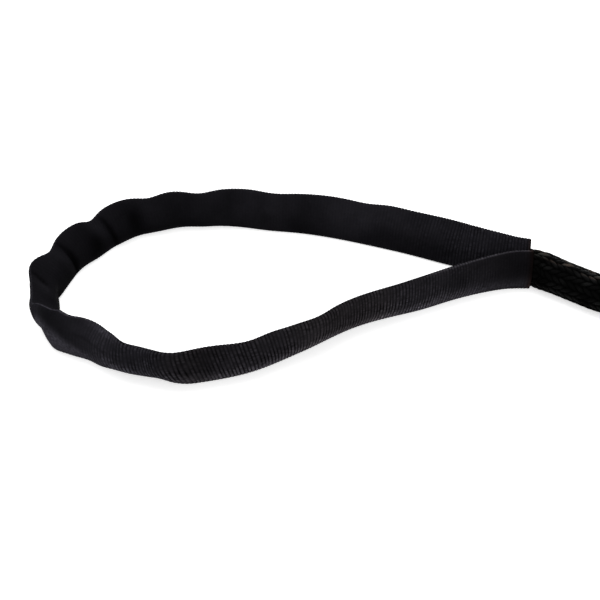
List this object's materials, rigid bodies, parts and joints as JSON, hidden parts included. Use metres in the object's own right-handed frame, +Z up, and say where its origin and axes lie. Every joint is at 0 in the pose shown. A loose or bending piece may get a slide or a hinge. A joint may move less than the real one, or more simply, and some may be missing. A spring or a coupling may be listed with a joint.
{
  "type": "rope protector sleeve",
  "caption": "Flat tubular webbing sleeve threaded over the spliced eye of a braided rope, standing as a teardrop loop, with the rest of the rope coiled beside it.",
  "frame": {"origin": "middle of the bottom of the box round the sleeved eye, on the plane that it stands on; the free rope isn't counted", "axes": "+Z up; +X from the bow of the eye to its mouth, where the rope leaves; +Y to the rear arm of the loop"},
  "size_m": [0.5336, 0.1988, 0.0374],
  "materials": {
    "webbing": "matt black woven nylon tube, ribbed across its width",
    "rope": "black hollow braided polyester, slightly glossy on its picks",
    "twine": "waxed black twine and tape"
  },
  "bodies": {
    "sleeved_eye": {"webbing_sleeve": "webbing", "eye_rope": "rope", "splice_throat": "rope"},
    "rope_line": {"splice_cover": "rope", "buried_tail": "rope", "standing_rope": "rope", "rope_coil": "rope", "coil_tie": "twine", "end_whipping": "twine"}
  },
  "joints": [
    {"name": "rope_swing", "type": "hinge", "parent": "sleeved_eye", "child": "rope_line", "pos_m": [0.13859, 0.01359, 0.00975], "axis": [0, 0, 1], "range_deg": [-10, 75]}
  ]
}
